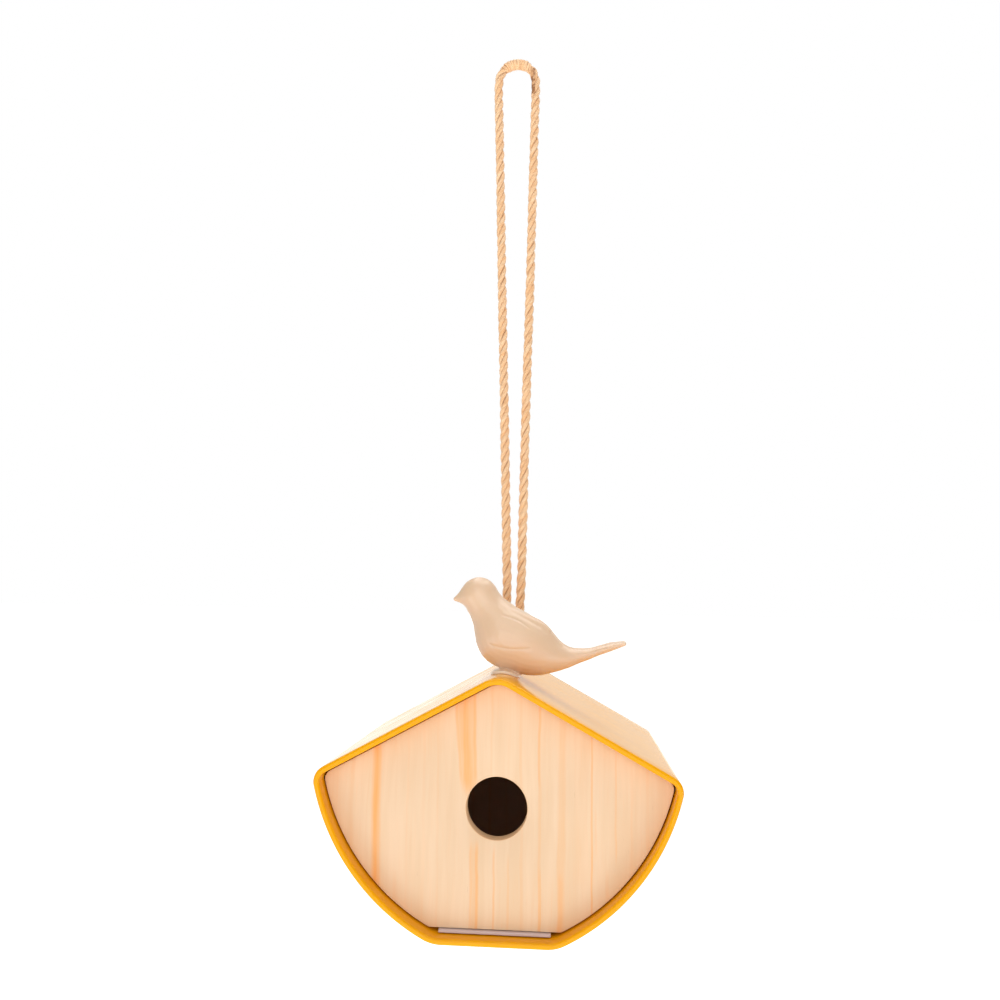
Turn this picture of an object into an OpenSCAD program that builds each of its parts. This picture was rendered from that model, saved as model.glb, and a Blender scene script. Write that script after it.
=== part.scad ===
// Hanging birdhouse: a bent yellow band closed by two pine panels, with a bird
// on its ridge. Millimetres. X right, Y into the house, Z up. The origin is the
// inside of the rope loop's crown, where the hook touches it.

/* [House] */
// Half of the width between the unrounded eave corners
half_width = 96.8; // [92:0.2:102]
// Height from the unrounded ridge to the underside of the floor
house_height = 135.8; // [130:0.2:142]
// Slope of the roof below the level, in degrees
roof_slope = 28.5; // [26:0.5:30]
// Half of the unrounded width of the floor
floor_half_width = 31.6; // [29:0.2:34]
// How far each side bows out from a straight line
side_bulge = 12.9; // [11:0.1:14]
// Front to back depth of the band
house_depth = 168; // [160:1:180]
// Thickness of the band
wall = 3.2; // [2.8:0.1:3.6]
// Outer radius over the ridge
ridge_radius = 15; // [12:0.5:17]
// Outer radius at the eaves
eave_radius = 8.5; // [7.5:0.5:9.5]
// Outer radius where the sides meet the floor
foot_radius = 21.5; // [19:0.5:23]

/* [Panels] */
// Thickness of the pine boards
panel_thickness = 9; // [8:0.5:10]
// How far each board sits behind the rim
panel_recess = 9.5; // [7:0.5:15]
// Gap between the door and the band
door_gap = 1; // [1:0.1:1.3]
// Diameter of the entrance hole
entrance_diameter = 32; // [26:1:38]
// Depth of the entrance's centre below the unrounded ridge
entrance_drop = 69.5; // [66:0.5:74]
// Thickness of the door's outer lip, in front of its rebate
door_lip = 5; // [4.5:0.5:5.5]
// Width of the rebate round the back of the door
door_rebate = 3; // [3:0.5:4]

/* [Floor tray] */
// Width of the tray
tray_width = 58; // [50:1:58]
// Thickness of the tray
tray_thickness = 1.6; // [1.2:0.1:2.4]
// How far the tray's edge stands ahead of the door
tray_lead = 2; // [0:0.5:4]

/* [Rope] */
// Diameter of the rope
rope_diameter = 6; // [5:0.5:6]
// Distance from the front rim back to the rope
rope_back = 84; // [82:1:90]

/* [Hidden] */
$fn = 64;

// Clearances: a turning shaft, a fixed screw, two parts that slide, and a fitted board.
running_gap = 0.06;
screw_gap = 0.1;
slide_gap = 0.35;
board_gap = 0.2;
// Reach of a cutter past the face it opens.
past = 1;

// From the unrounded ridge up to the inside of the loop's crown.
loop_rise = 385;

// Centres of the arcs that make the right half of the outline, as [x, z] from the ridge.
eave = [half_width, -half_width * tan(roof_slope)];
foot = [floor_half_width, -house_height];
chord = norm(eave - foot);
side_radius = (chord * chord / 4 + side_bulge * side_bulge) / (2 * side_bulge);
side_normal = [eave[1] - foot[1], foot[0] - eave[0]] / chord;
side_centre = (eave + foot) / 2 - (side_radius - side_bulge) * side_normal;
ridge_centre = [0, -ridge_radius / cos(roof_slope)];

// The eave's centre lies eave_radius under the roof line and inside the side arc.
slope_dir = [cos(roof_slope), -sin(roof_slope)];
slope_normal = [sin(roof_slope), cos(roof_slope)];
eave_start = -eave_radius * slope_normal - side_centre;
eave_along = eave_start * slope_dir;
eave_reach = side_radius - eave_radius;
eave_run = sqrt(eave_along * eave_along - eave_start * eave_start + eave_reach * eave_reach) - eave_along;
eave_centre = -eave_radius * slope_normal + eave_run * slope_dir;

// The foot's centre lies foot_radius over the floor and inside the side arc.
foot_lift = -house_height + foot_radius;
foot_reach = side_radius - foot_radius;
foot_side = sqrt(foot_reach * foot_reach - (foot_lift - side_centre[1]) * (foot_lift - side_centre[1]));
foot_centre = [side_centre[0] + foot_side, foot_lift];

function angle_of(v) = atan2(v[1], v[0]);
side_top_angle = angle_of(eave_centre - side_centre);
side_foot_angle = angle_of(foot_centre - side_centre);

// Points along an arc from one angle to another.
function arc(centre, radius, from, to, steps) =
    [for (i = [0 : steps]) let (a = from + (to - from) * i / steps) centre + radius * [cos(a), sin(a)]];

// Right half of the outline, moved in by an inset, from the ridge to the floor.
function half_outline(inset) = concat(
    arc(ridge_centre, ridge_radius - inset, 90, 90 - roof_slope, 6),
    arc(eave_centre, eave_radius - inset, 90 - roof_slope, side_top_angle, 12),
    arc(side_centre, side_radius - inset, side_top_angle, side_foot_angle, 24),
    arc(foot_centre, foot_radius - inset, side_foot_angle, -90, 8)
);

function flipped(points) = [for (i = [len(points) - 1 : -1 : 1]) [-points[i][0], points[i][1]]];

module outline(inset) {
    right = half_outline(inset);
    polygon(concat(right, flipped(right)));
}

// The outline as a solid that fills the depth from y0 to y1.
module filled(inset, y0, y1) {
    translate([0, y1, 0]) rotate([90, 0, 0]) linear_extrude(y1 - y0) outline(inset);
}

// Moves a piece drawn from the front of the ridge to the origin in the loop.
module house() {
    translate([0, -rope_back, -loop_rise]) children();
}

// Depth of the roof's inside below the ridge, at a distance x from its middle.
inner_ridge_radius = ridge_radius - wall;
inner_bend = inner_ridge_radius * sin(roof_slope);
function roof_inside(x) =
    ridge_centre[1] + inner_ridge_radius * cos(roof_slope) - (x - inner_bend) * tan(roof_slope);

// Driving depths from the front rim, and the door's axis.
door_front = panel_recess;
door_back = panel_recess + panel_thickness;
back_front = house_depth - panel_recess - panel_thickness;
back_back = house_depth - panel_recess;
pivot_y = door_front + door_lip / 2;
pivot_z = eave_centre[1];
floor_top = -house_height + wall;
tray_bottom = floor_top + slide_gap + 0.15;
tray_top = tray_bottom + tray_thickness;
door_bottom = tray_top + slide_gap;

// Countersunk screws: the head's radius and depth, and the shank.
pivot_shank = 1.5;
pivot_head = 3;
pivot_length = 18;
board_shank = 1.75;
board_head = 3.4;
board_length = 20;

// A countersunk screw that points along -X, with the middle of its face at the origin.
module countersunk_screw(shank, head, length) {
    cone = head - shank;
    rotate([0, -90, 0]) difference() {
        union() {
            cylinder(h = length, r = shank);
            cylinder(h = cone, r1 = head, r2 = shank);
        }
        cross_slot(head);
    }
}

// The cross recess of a screw head, cut into the face at the origin along +Z.
module cross_slot(head) {
    slot_width = head / 4;
    slot_depth = head / 3;
    for (turn = [0, 90])
        rotate([0, 0, turn])
            translate([-head / 2, -slot_width / 2, -past])
                cube([head, slot_width, slot_depth + past]);
}

// The hole that such a screw needs, opened outwards beyond the face.
module screw_hole(shank, head, length, gap) {
    cone = head - shank;
    rotate([0, -90, 0]) {
        cylinder(h = length, r = shank + gap);
        cylinder(h = cone, r1 = head + gap, r2 = shank + gap);
        translate([0, 0, -2 * past]) cylinder(h = 2 * past, r = head + gap);
    }
}

// How far a screw's face lies under the curved wall, so that its edge is flush too.
function sunk(head, radius) = radius - sqrt(radius * radius - head * head);

// Right and left pivot of the door, at the widest point of the house.
pivot_face = eave_centre[0] + eave_radius - sunk(pivot_head, eave_radius);
module at_pivots() {
    for (side = [0, 1])
        mirror([side, 0, 0]) translate([pivot_face, pivot_y, pivot_z]) children();
}

// The two screws on each side that hold the back board.
board_screw_y = (back_front + back_back) / 2;
board_face = eave_centre[0] + eave_radius - sunk(board_head, eave_radius);
low_screw_angle = -45;
low_screw = side_centre + side_radius * [cos(low_screw_angle), sin(low_screw_angle)];
module at_board_screws() {
    for (side = [0, 1])
        mirror([side, 0, 0]) {
            translate([board_face, board_screw_y, eave_centre[1]]) children();
            translate([low_screw[0], board_screw_y, low_screw[1]])
                rotate([0, -low_screw_angle, 0]) children();
        }
}

// Fittings under the ridge: the rope's hole and washer, the bird's screw and washer.
bird_y = 45;
rope_hole = 6.6;
rope_washer_radius = 11;
rope_washer_thickness = 1.5;
rope_washer_top = roof_inside(rope_washer_radius);
knot_radius = 9.5;
knot_top = rope_washer_top - rope_washer_thickness;
knot_height = 15;
bird_hole = 2.15;
bird_shank = 2;
bird_screw_top = 14;
bird_washer_radius = 6;
bird_washer_thickness = 1;
bird_washer_top = roof_inside(bird_washer_radius);
bird_head_radius = 3.8;
bird_head_height = 2.4;

drain_radius = 3;
drain_x = 16;
drain_y = [48, 120];

module drains(z, height) {
    for (x = [-drain_x, drain_x], y = drain_y)
        translate([x, y, z]) cylinder(h = height, r = drain_radius);
}

module ridge_hole(y, radius) {
    translate([0, y, 2 * roof_inside(inner_bend)]) cylinder(h = -2 * roof_inside(inner_bend), r = radius);
}

module shell() {
    color([0.95, 0.66, 0.03]) house() difference() {
        filled(0, 0, house_depth);
        filled(wall, -past, house_depth + past);
        ridge_hole(rope_back, rope_hole);
        ridge_hole(bird_y, bird_hole);
        drains(-house_height - past, wall + 2 * past);
        at_pivots() screw_hole(pivot_shank, pivot_head, 2 * wall, running_gap);
        at_board_screws() screw_hole(board_shank, board_head, 2 * wall, screw_gap);
    }
}

// The door's outer lip fills the opening, and the rebate behind it lets it turn.
module front_door() {
    inset = wall + door_gap;
    color([0.96, 0.82, 0.66]) house() difference() {
        union() {
            filled(inset, door_front, door_front + door_lip);
            filled(inset + door_rebate, door_front + door_lip, door_back);
        }
        translate([-half_width, 0, -house_height])
            cube([2 * half_width, door_front + door_lip, house_height + door_bottom]);
        translate([-half_width, door_front + door_lip, -house_height])
            cube([2 * half_width, panel_thickness, house_height + door_bottom + door_rebate]);
        translate([0, door_back + past, -entrance_drop])
            rotate([90, 0, 0]) cylinder(h = panel_thickness + 2 * past, d = entrance_diameter);
        at_pivots() rotate([0, -90, 0]) cylinder(h = pivot_length, r = pivot_shank);
    }
}

module pivot_screws() {
    color("silver") house() at_pivots() countersunk_screw(pivot_shank, pivot_head, pivot_length);
}

// Cleats on the side walls that the lower half of the door rests against.
stop_depth = 8;
stop_reach = 9;
stop_low = -112;
stop_high = -92;
module door_stops() {
    y0 = door_back + slide_gap;
    color([0.93, 0.78, 0.6]) house() intersection() {
        difference() {
            filled(wall, y0, y0 + stop_depth);
            filled(wall + stop_reach, 0, house_depth);
        }
        translate([-half_width, 0, stop_low]) cube([2 * half_width, house_depth, stop_high - stop_low]);
    }
}

module back_panel() {
    color([0.96, 0.82, 0.66]) house() difference() {
        filled(wall + board_gap, back_front, back_back);
        at_board_screws() rotate([0, -90, 0]) cylinder(h = board_length, r = board_shank);
    }
}

module back_panel_screws() {
    color("silver") house() at_board_screws() countersunk_screw(board_shank, board_head, board_length);
}

// A flat plate that lies on the floor and slides out under the door.
module floor_tray() {
    tray_front = door_front - tray_lead;
    tray_length = back_front - slide_gap - tray_front;
    color([0.78, 0.72, 0.72]) house() difference() {
        translate([-tray_width / 2, tray_front, tray_bottom])
            cube([tray_width, tray_length, tray_thickness]);
        drains(tray_bottom - past, tray_thickness + 2 * past);
    }
}

// Centres [x, z] and radii of the balls that the bird is drawn over.
head_ball = [-14.5, 41, 10.5];
breast_ball = [3.5, 14.8, 18];
belly_ball = [16, 12, 15.5];
rump_ball = [31, 7.5, 7.8];
beak_root = [-22, 40];
beak_tip = [-30, 38.2];
tail_tip = [67.5, 15.8];
tail_half_width = 8;
tail_edge = 1.4;

// The oval pad under the breast, bent over the ridge.
pad_x = 1.2;
pad_half_width = 8.5;
pad_half_depth = 15;
pad_thickness = 1.8;

module ball(b) {
    translate([b[0], 0, b[1]]) sphere(r = b[2], $fn = 32);
}

module bird_body() {
    hull() {
        ball(head_ball);
        ball(breast_ball);
    }
    hull() {
        ball(breast_ball);
        ball(belly_ball);
        ball(rump_ball);
    }
    hull() {
        ball(rump_ball);
        for (side = [-1, 1])
            translate([tail_tip[0], side * tail_half_width, tail_tip[1]]) sphere(r = tail_edge, $fn = 16);
    }
    hull() {
        translate([beak_root[0], 0, beak_root[1]]) sphere(r = 4.4, $fn = 32);
        translate([beak_tip[0], 0, beak_tip[1]]) sphere(r = 0.7, $fn = 16);
    }
}

module bird_pad() {
    intersection() {
        filled(-pad_thickness, bird_y - pad_half_depth, bird_y + pad_half_depth);
        translate([pad_x, bird_y, -ridge_radius])
            scale([pad_half_width, pad_half_depth, 1]) cylinder(h = 2 * ridge_radius, r = 1);
    }
}

module bird() {
    color([0.9, 0.76, 0.6]) house() difference() {
        union() {
            translate([0, bird_y, 0]) bird_body();
            bird_pad();
        }
        filled(0, 0, house_depth);
        translate([0, bird_y, -ridge_radius]) cylinder(h = ridge_radius + bird_screw_top, r = bird_shank);
    }
}

module ring_washer(radius, hole, thickness) {
    translate([0, 0, -thickness]) difference() {
        cylinder(h = thickness, r = radius);
        translate([0, 0, -past]) cylinder(h = thickness + 2 * past, r = hole);
    }
}

module bird_washer() {
    color("silver") house() translate([0, bird_y, bird_washer_top])
        ring_washer(bird_washer_radius, bird_hole, bird_washer_thickness);
}

module bird_screw() {
    seat = bird_washer_top - bird_washer_thickness;
    color("silver") house() translate([0, bird_y, seat]) difference() {
        union() {
            cylinder(h = bird_screw_top - seat, r = bird_shank);
            translate([0, 0, -bird_head_height]) cylinder(h = bird_head_height, r = bird_head_radius);
        }
        translate([0, 0, -bird_head_height]) cross_slot(bird_head_radius);
    }
}

// The rope's centre line, from its knot up the left leg and down the right one.
rope_route = [
    [-3.1, 0, -404], [-3.1, 0, -386], [-2.3, 0, -365], [-1.3, 0, -341], [-2.5, 0, -300],
    [-4.1, 0, -250], [-5.8, 0, -200], [-7.6, 0, -150], [-9.2, 0, -100], [-10.9, 0, -50],
    [-12, 0, -20], [-12, 0, -9], [-10.4, 0, -3], [-6, 0, 1.4], [0, 0, 3],
    [6, 0, 1.4], [10.4, 0, -3], [12, 0, -9], [12.1, 0, -20], [11.6, 0, -50],
    [10.9, 0, -100], [10.2, 0, -150], [9.2, 0, -200], [8.4, 0, -250], [7.8, 0, -300],
    [7.2, 0, -341], [5.4, 0, -365], [3.1, 0, -386], [3.1, 0, -404]
];
rope_ring_step = 15;
rope_sides = 8;

function route_point(i) = rope_route[max(0, min(len(rope_route) - 1, i))];

// A smooth curve through the route's points, at a share u of the stretch from point i.
function between(i, u) =
    let (a = route_point(i - 1), b = route_point(i), c = route_point(i + 1), d = route_point(i + 2))
    b + u * ((c - a) / 2 + u * (a - 2.5 * b + 2 * c - d / 2 + u * (1.5 * (b - c) + (d - a) / 2)));

rope_line = concat(
    [for (i = [0 : len(rope_route) - 2])
        let (steps = ceil(norm(route_point(i + 1) - route_point(i)) / rope_ring_step))
            for (k = [0 : steps - 1]) between(i, k / steps)],
    [route_point(len(rope_route) - 1)]
);

function unit(v) = v / norm(v);

// A ring of the tube round a point of its line; the line stays in the XZ plane.
function rope_ring(i) =
    let (
        last = len(rope_line) - 1,
        along = unit(rope_line[min(last, i + 1)] - rope_line[max(0, i - 1)]),
        across = unit(cross([0, 1, 0], along)),
        radius = rope_diameter / 2
    )
    [for (k = [0 : rope_sides - 1])
        let (a = 360 * k / rope_sides)
            rope_line[i] + radius * (cos(a) * across + sin(a) * cross(along, across))];

module rope() {
    rings = len(rope_line);
    points = [for (i = [0 : rings - 1]) each rope_ring(i)];
    side_faces = [for (i = [0 : rings - 2], k = [0 : rope_sides - 1])
        let (next = (k + 1) % rope_sides, low = i * rope_sides, high = low + rope_sides)
            [low + k, high + k, high + next, low + next]];
    first_face = [for (k = [0 : rope_sides - 1]) k];
    last_face = [for (k = [rope_sides - 1 : -1 : 0]) (rings - 1) * rope_sides + k];
    color([0.83, 0.66, 0.42]) polyhedron(points, concat(side_faces, [first_face, last_face]));
}

module rope_washer() {
    color("silver") house() translate([0, rope_back, rope_washer_top])
        ring_washer(rope_washer_radius, rope_hole, rope_washer_thickness);
}

// The stopper knot: a ball with its top flat against the washer.
module rope_knot() {
    color([0.83, 0.66, 0.42]) house() translate([0, rope_back, knot_top]) difference() {
        translate([0, 0, knot_radius - knot_height]) sphere(r = knot_radius);
        translate([-knot_radius, -knot_radius, 0]) cube(2 * knot_radius);
    }
}

shell();
front_door();
pivot_screws();
door_stops();
back_panel();
back_panel_screws();
floor_tray();
bird();
bird_washer();
bird_screw();
rope();
rope_washer();
rope_knot();
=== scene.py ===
import math
import random

import bmesh
import bpy
from mathutils import Matrix, Vector


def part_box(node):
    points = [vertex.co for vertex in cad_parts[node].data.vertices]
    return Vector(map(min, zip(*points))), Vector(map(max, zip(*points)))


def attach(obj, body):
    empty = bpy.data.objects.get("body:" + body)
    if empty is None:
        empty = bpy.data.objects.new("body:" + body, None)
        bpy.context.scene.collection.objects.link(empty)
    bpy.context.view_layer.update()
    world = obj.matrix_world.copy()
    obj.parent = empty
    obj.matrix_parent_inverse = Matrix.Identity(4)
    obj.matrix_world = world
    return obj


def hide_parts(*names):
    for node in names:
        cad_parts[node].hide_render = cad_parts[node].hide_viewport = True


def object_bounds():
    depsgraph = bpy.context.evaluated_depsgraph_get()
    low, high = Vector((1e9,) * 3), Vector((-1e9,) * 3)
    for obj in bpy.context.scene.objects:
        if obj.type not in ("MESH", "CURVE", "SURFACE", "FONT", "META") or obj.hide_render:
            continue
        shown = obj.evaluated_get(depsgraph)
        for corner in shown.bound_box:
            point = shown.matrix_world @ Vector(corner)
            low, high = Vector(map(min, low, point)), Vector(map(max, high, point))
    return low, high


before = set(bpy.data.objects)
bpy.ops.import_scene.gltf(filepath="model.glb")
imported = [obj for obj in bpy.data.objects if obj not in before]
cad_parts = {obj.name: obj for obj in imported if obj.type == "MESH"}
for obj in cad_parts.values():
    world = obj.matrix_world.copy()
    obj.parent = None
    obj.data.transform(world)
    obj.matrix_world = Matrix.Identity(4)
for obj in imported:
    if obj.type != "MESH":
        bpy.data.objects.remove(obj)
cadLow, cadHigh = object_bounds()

mm = 0.001


def addMesh(name, points, faces):
    mesh = bpy.data.meshes.new(name)
    mesh.from_pydata([tuple(p) for p in points], [], faces)
    mesh.update()
    piece = bpy.data.objects.new(name, mesh)
    bpy.context.scene.collection.objects.link(piece)
    return piece


def smoothBy(piece, degrees):
    piece.data.shade_smooth()
    piece.data.set_sharp_from_angle(angle=math.radians(degrees))


def faceOut(piece, merge=0.002 * mm):
    shape = bmesh.new()
    shape.from_mesh(piece.data)
    bmesh.ops.remove_doubles(shape, verts=shape.verts, dist=merge)
    bmesh.ops.recalc_face_normals(shape, faces=shape.faces)
    shape.to_mesh(piece.data)
    shape.free()
    piece.data.update()


def bake(piece):
    # turns the modifiers' result into the piece's own plain mesh
    graph = bpy.context.evaluated_depsgraph_get()
    result = bpy.data.meshes.new_from_object(piece.evaluated_get(graph))
    old = piece.data
    piece.modifiers.clear()
    piece.data = result
    result.name = piece.name
    bpy.data.meshes.remove(old)


def discard(piece):
    mesh = piece.data
    bpy.data.objects.remove(piece)
    bpy.data.meshes.remove(mesh)


def circle(steps):
    # the cosine and the sine of each step of a full turn
    return [(math.cos(2 * math.pi * k / steps), math.sin(2 * math.pi * k / steps)) for k in range(steps)]


def tubeFaces(first, rings, sides):
    # the skin over rings of points that follow each other, closed at both ends
    faces = []
    for i in range(rings - 1):
        for k in range(sides):
            low, high, after = first + i * sides, first + (i + 1) * sides, (k + 1) % sides
            faces.append((low + k, low + after, high + after, high + k))
    faces.append(tuple(first + k for k in reversed(range(sides))))
    faces.append(tuple(first + (rings - 1) * sides + k for k in range(sides)))
    return faces


def onCurve(a, b, c, d, u):
    # a smooth curve from b to c that heads past a and d, for numbers and vectors alike
    return b + u * ((c - a) / 2 + u * (a - 2.5 * b + 2 * c - d / 2 + u * (1.5 * (b - c) + (d - a) / 2)))


def finishPiece(piece, material, body, stands=()):
    if material:
        piece.data.materials.clear()
        piece.data.materials.append(material)
    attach(piece, body)
    if stands:
        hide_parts(*stands)
    print("made", piece.name, len(piece.data.polygons), "faces")


camera = {
    "place": (0.03507, -0.55332, -0.34239),
    "turn": -4.313,
    "tilt": 5.919,
    "roll": 1.004,
    "lens": 32.147,
    "film": 36.0,
    "nearest": 0.01,
}


def placeCamera():
    turn, tilt, roll = (math.radians(camera[k]) for k in ("turn", "tilt", "roll"))
    ahead = Vector((math.sin(turn) * math.cos(tilt), math.cos(turn) * math.cos(tilt), math.sin(tilt)))
    level = ahead.cross(Vector((0, 0, 1))).normalized()
    upright = level.cross(ahead)
    right = level * math.cos(roll) + upright * math.sin(roll)
    up = upright * math.cos(roll) - level * math.sin(roll)
    lensData = bpy.data.cameras.new("camera")
    lensData.sensor_width = camera["film"]
    lensData.lens = camera["lens"]
    lensData.clip_start = camera["nearest"]
    seat = bpy.data.objects.new("camera", lensData)
    bpy.context.scene.collection.objects.link(seat)
    axes = Matrix((right, up, -ahead)).transposed().to_4x4()
    seat.matrix_world = Matrix.Translation(camera["place"]) @ axes
    bpy.context.scene.camera = seat


placeCamera()
print("camera placed")


# measured from the ridge's unrounded line; the front rim is at depth 0
house = {
    "halfWidth": 96.8,
    "height": 135.8,
    "slope": 28.5,
    "floorHalf": 31.6,
    "bulge": 12.9,
    "depth": 168.0,
    "wall": 3.2,
    "ridgeRadius": 15.0,
    "eaveRadius": 8.5,
    "footRadius": 21.5,
    "rimRadius": 1.45,
    "front": -84.0,
    "ridge": -385.0,
}


def newMaterial(name, colour, roughness, fixed=()):
    # fixed holds what is the same all over the surface, by socket name
    material = bpy.data.materials.new(name)
    material.use_nodes = True
    shader = material.node_tree.nodes["Principled BSDF"]
    shader.inputs["Base Color"].default_value = (*colour, 1)
    shader.inputs["Roughness"].default_value = roughness
    for socket, value in dict(fixed).items():
        shader.inputs[socket].default_value = value
    return material, material.node_tree, shader


def feed(tree, socket, value):
    # a socket takes another node's output, or a plain value
    if isinstance(value, bpy.types.NodeSocket):
        tree.links.new(value, socket)
    else:
        socket.default_value = value


def addNode(tree, kind, settings=(), **inputs):
    node = tree.nodes.new(kind)
    for key, value in dict(settings).items():
        setattr(node, key, value)
    for key, value in inputs.items():
        feed(tree, node.inputs[key.replace("_", " ")], value)
    return node


def maths(tree, operation, *values):
    node = addNode(tree, "ShaderNodeMath", {"operation": operation})
    for socket, value in zip(node.inputs, values):
        feed(tree, socket, value)
    return node.outputs[0]


def times(tree, a, b):
    return maths(tree, "MULTIPLY", a, b)


def mapped(tree, value, fromLow, fromHigh, toLow, toHigh, kind="LINEAR"):
    node = addNode(tree, "ShaderNodeMapRange", {"interpolation_type": kind}, Value=value, From_Min=fromLow,
                   From_Max=fromHigh, To_Min=toLow, To_Max=toHigh)
    return node.outputs[0]


def fadeBetween(tree, value, start, end):
    # 0 at the start and 1 at the end
    return mapped(tree, value, start, end, 0.0, 1.0, "SMOOTHSTEP")


def within(tree, value, limits):
    # 1 between the two middle limits, 0 outside the outer ones
    low, full, last, high = limits
    return times(tree, fadeBetween(tree, value, low, full), fadeBetween(tree, value, high, last))


def step(tree, factor, start, end):
    # 0 before the start and 1 after the end, or the other way round, in a straight line
    rises = start < end
    node = addNode(tree, "ShaderNodeValToRGB", Fac=factor)
    for element, place, level in zip(node.color_ramp.elements, sorted((start, end)), (not rises, rises)):
        element.position = place
        element.color = (level, level, level, 1)
    return node.outputs[0]


def mixColour(tree, factor, a, b):
    node = addNode(tree, "ShaderNodeMix", {"data_type": "RGBA"})
    for socket, value in zip((node.inputs[0], node.inputs[6], node.inputs[7]), (factor, a, b)):
        feed(tree, socket, (*value, 1) if isinstance(value, tuple) else value)
    return node.outputs[2]


def paint(tree, shader, colour):
    tree.links.new(colour, shader.inputs["Base Color"])


def objectPlace(tree, scale=(1, 1, 1), shift=(0, 0, 0)):
    where = tree.nodes.new("ShaderNodeTexCoord")
    mapping = addNode(tree, "ShaderNodeMapping", Vector=where.outputs["Object"], Scale=scale, Location=shift)
    return mapping.outputs[0]


def noiseAt(tree, place, scale, detail=3.0, rough=0.5):
    node = addNode(tree, "ShaderNodeTexNoise", Vector=place, Scale=scale, Detail=detail, Roughness=rough)
    return node.outputs[0]


def valueOf(tree, attribute):
    return addNode(tree, "ShaderNodeAttribute", {"attribute_name": attribute}).outputs["Fac"]


def bumpFrom(tree, shader, height, distance, strength):
    node = addNode(tree, "ShaderNodeBump", Height=height, Distance=distance, Strength=strength)
    tree.links.new(node.outputs[0], shader.inputs["Normal"])


yellow = {
    "colour": (0.92, 0.41, 0.003),
    "deep": (0.89, 0.385, 0.002),
    "cloudScale": 14.0,
    "roughness": 0.13,
    "smearScale": 45.0,
    "smoother": 0.04,
    "rougher": 0.06,
    "peelScale": 260.0,
    "peelDepth": 0.003 * mm,
    "fixed": {"IOR": 1.5, "Specular IOR Level": 0.18},
}


def makeYellow():
    material, tree, shader = newMaterial("glossYellow", yellow["colour"], yellow["roughness"],
                                         yellow["fixed"])
    place = objectPlace(tree)
    cloud = noiseAt(tree, place, yellow["cloudScale"], 2.0)
    paint(tree, shader, mixColour(tree, cloud, yellow["deep"], yellow["colour"]))
    smear = noiseAt(tree, place, yellow["smearScale"], 5.0, 0.6)
    gloss = mapped(tree, smear, 0.3, 0.75, yellow["roughness"] - yellow["smoother"],
                   yellow["roughness"] + yellow["rougher"])
    tree.links.new(gloss, shader.inputs["Roughness"])
    peel = noiseAt(tree, place, yellow["peelScale"], 2.0)
    bumpFrom(tree, shader, peel, yellow["peelDepth"], 0.5)
    return material


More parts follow.
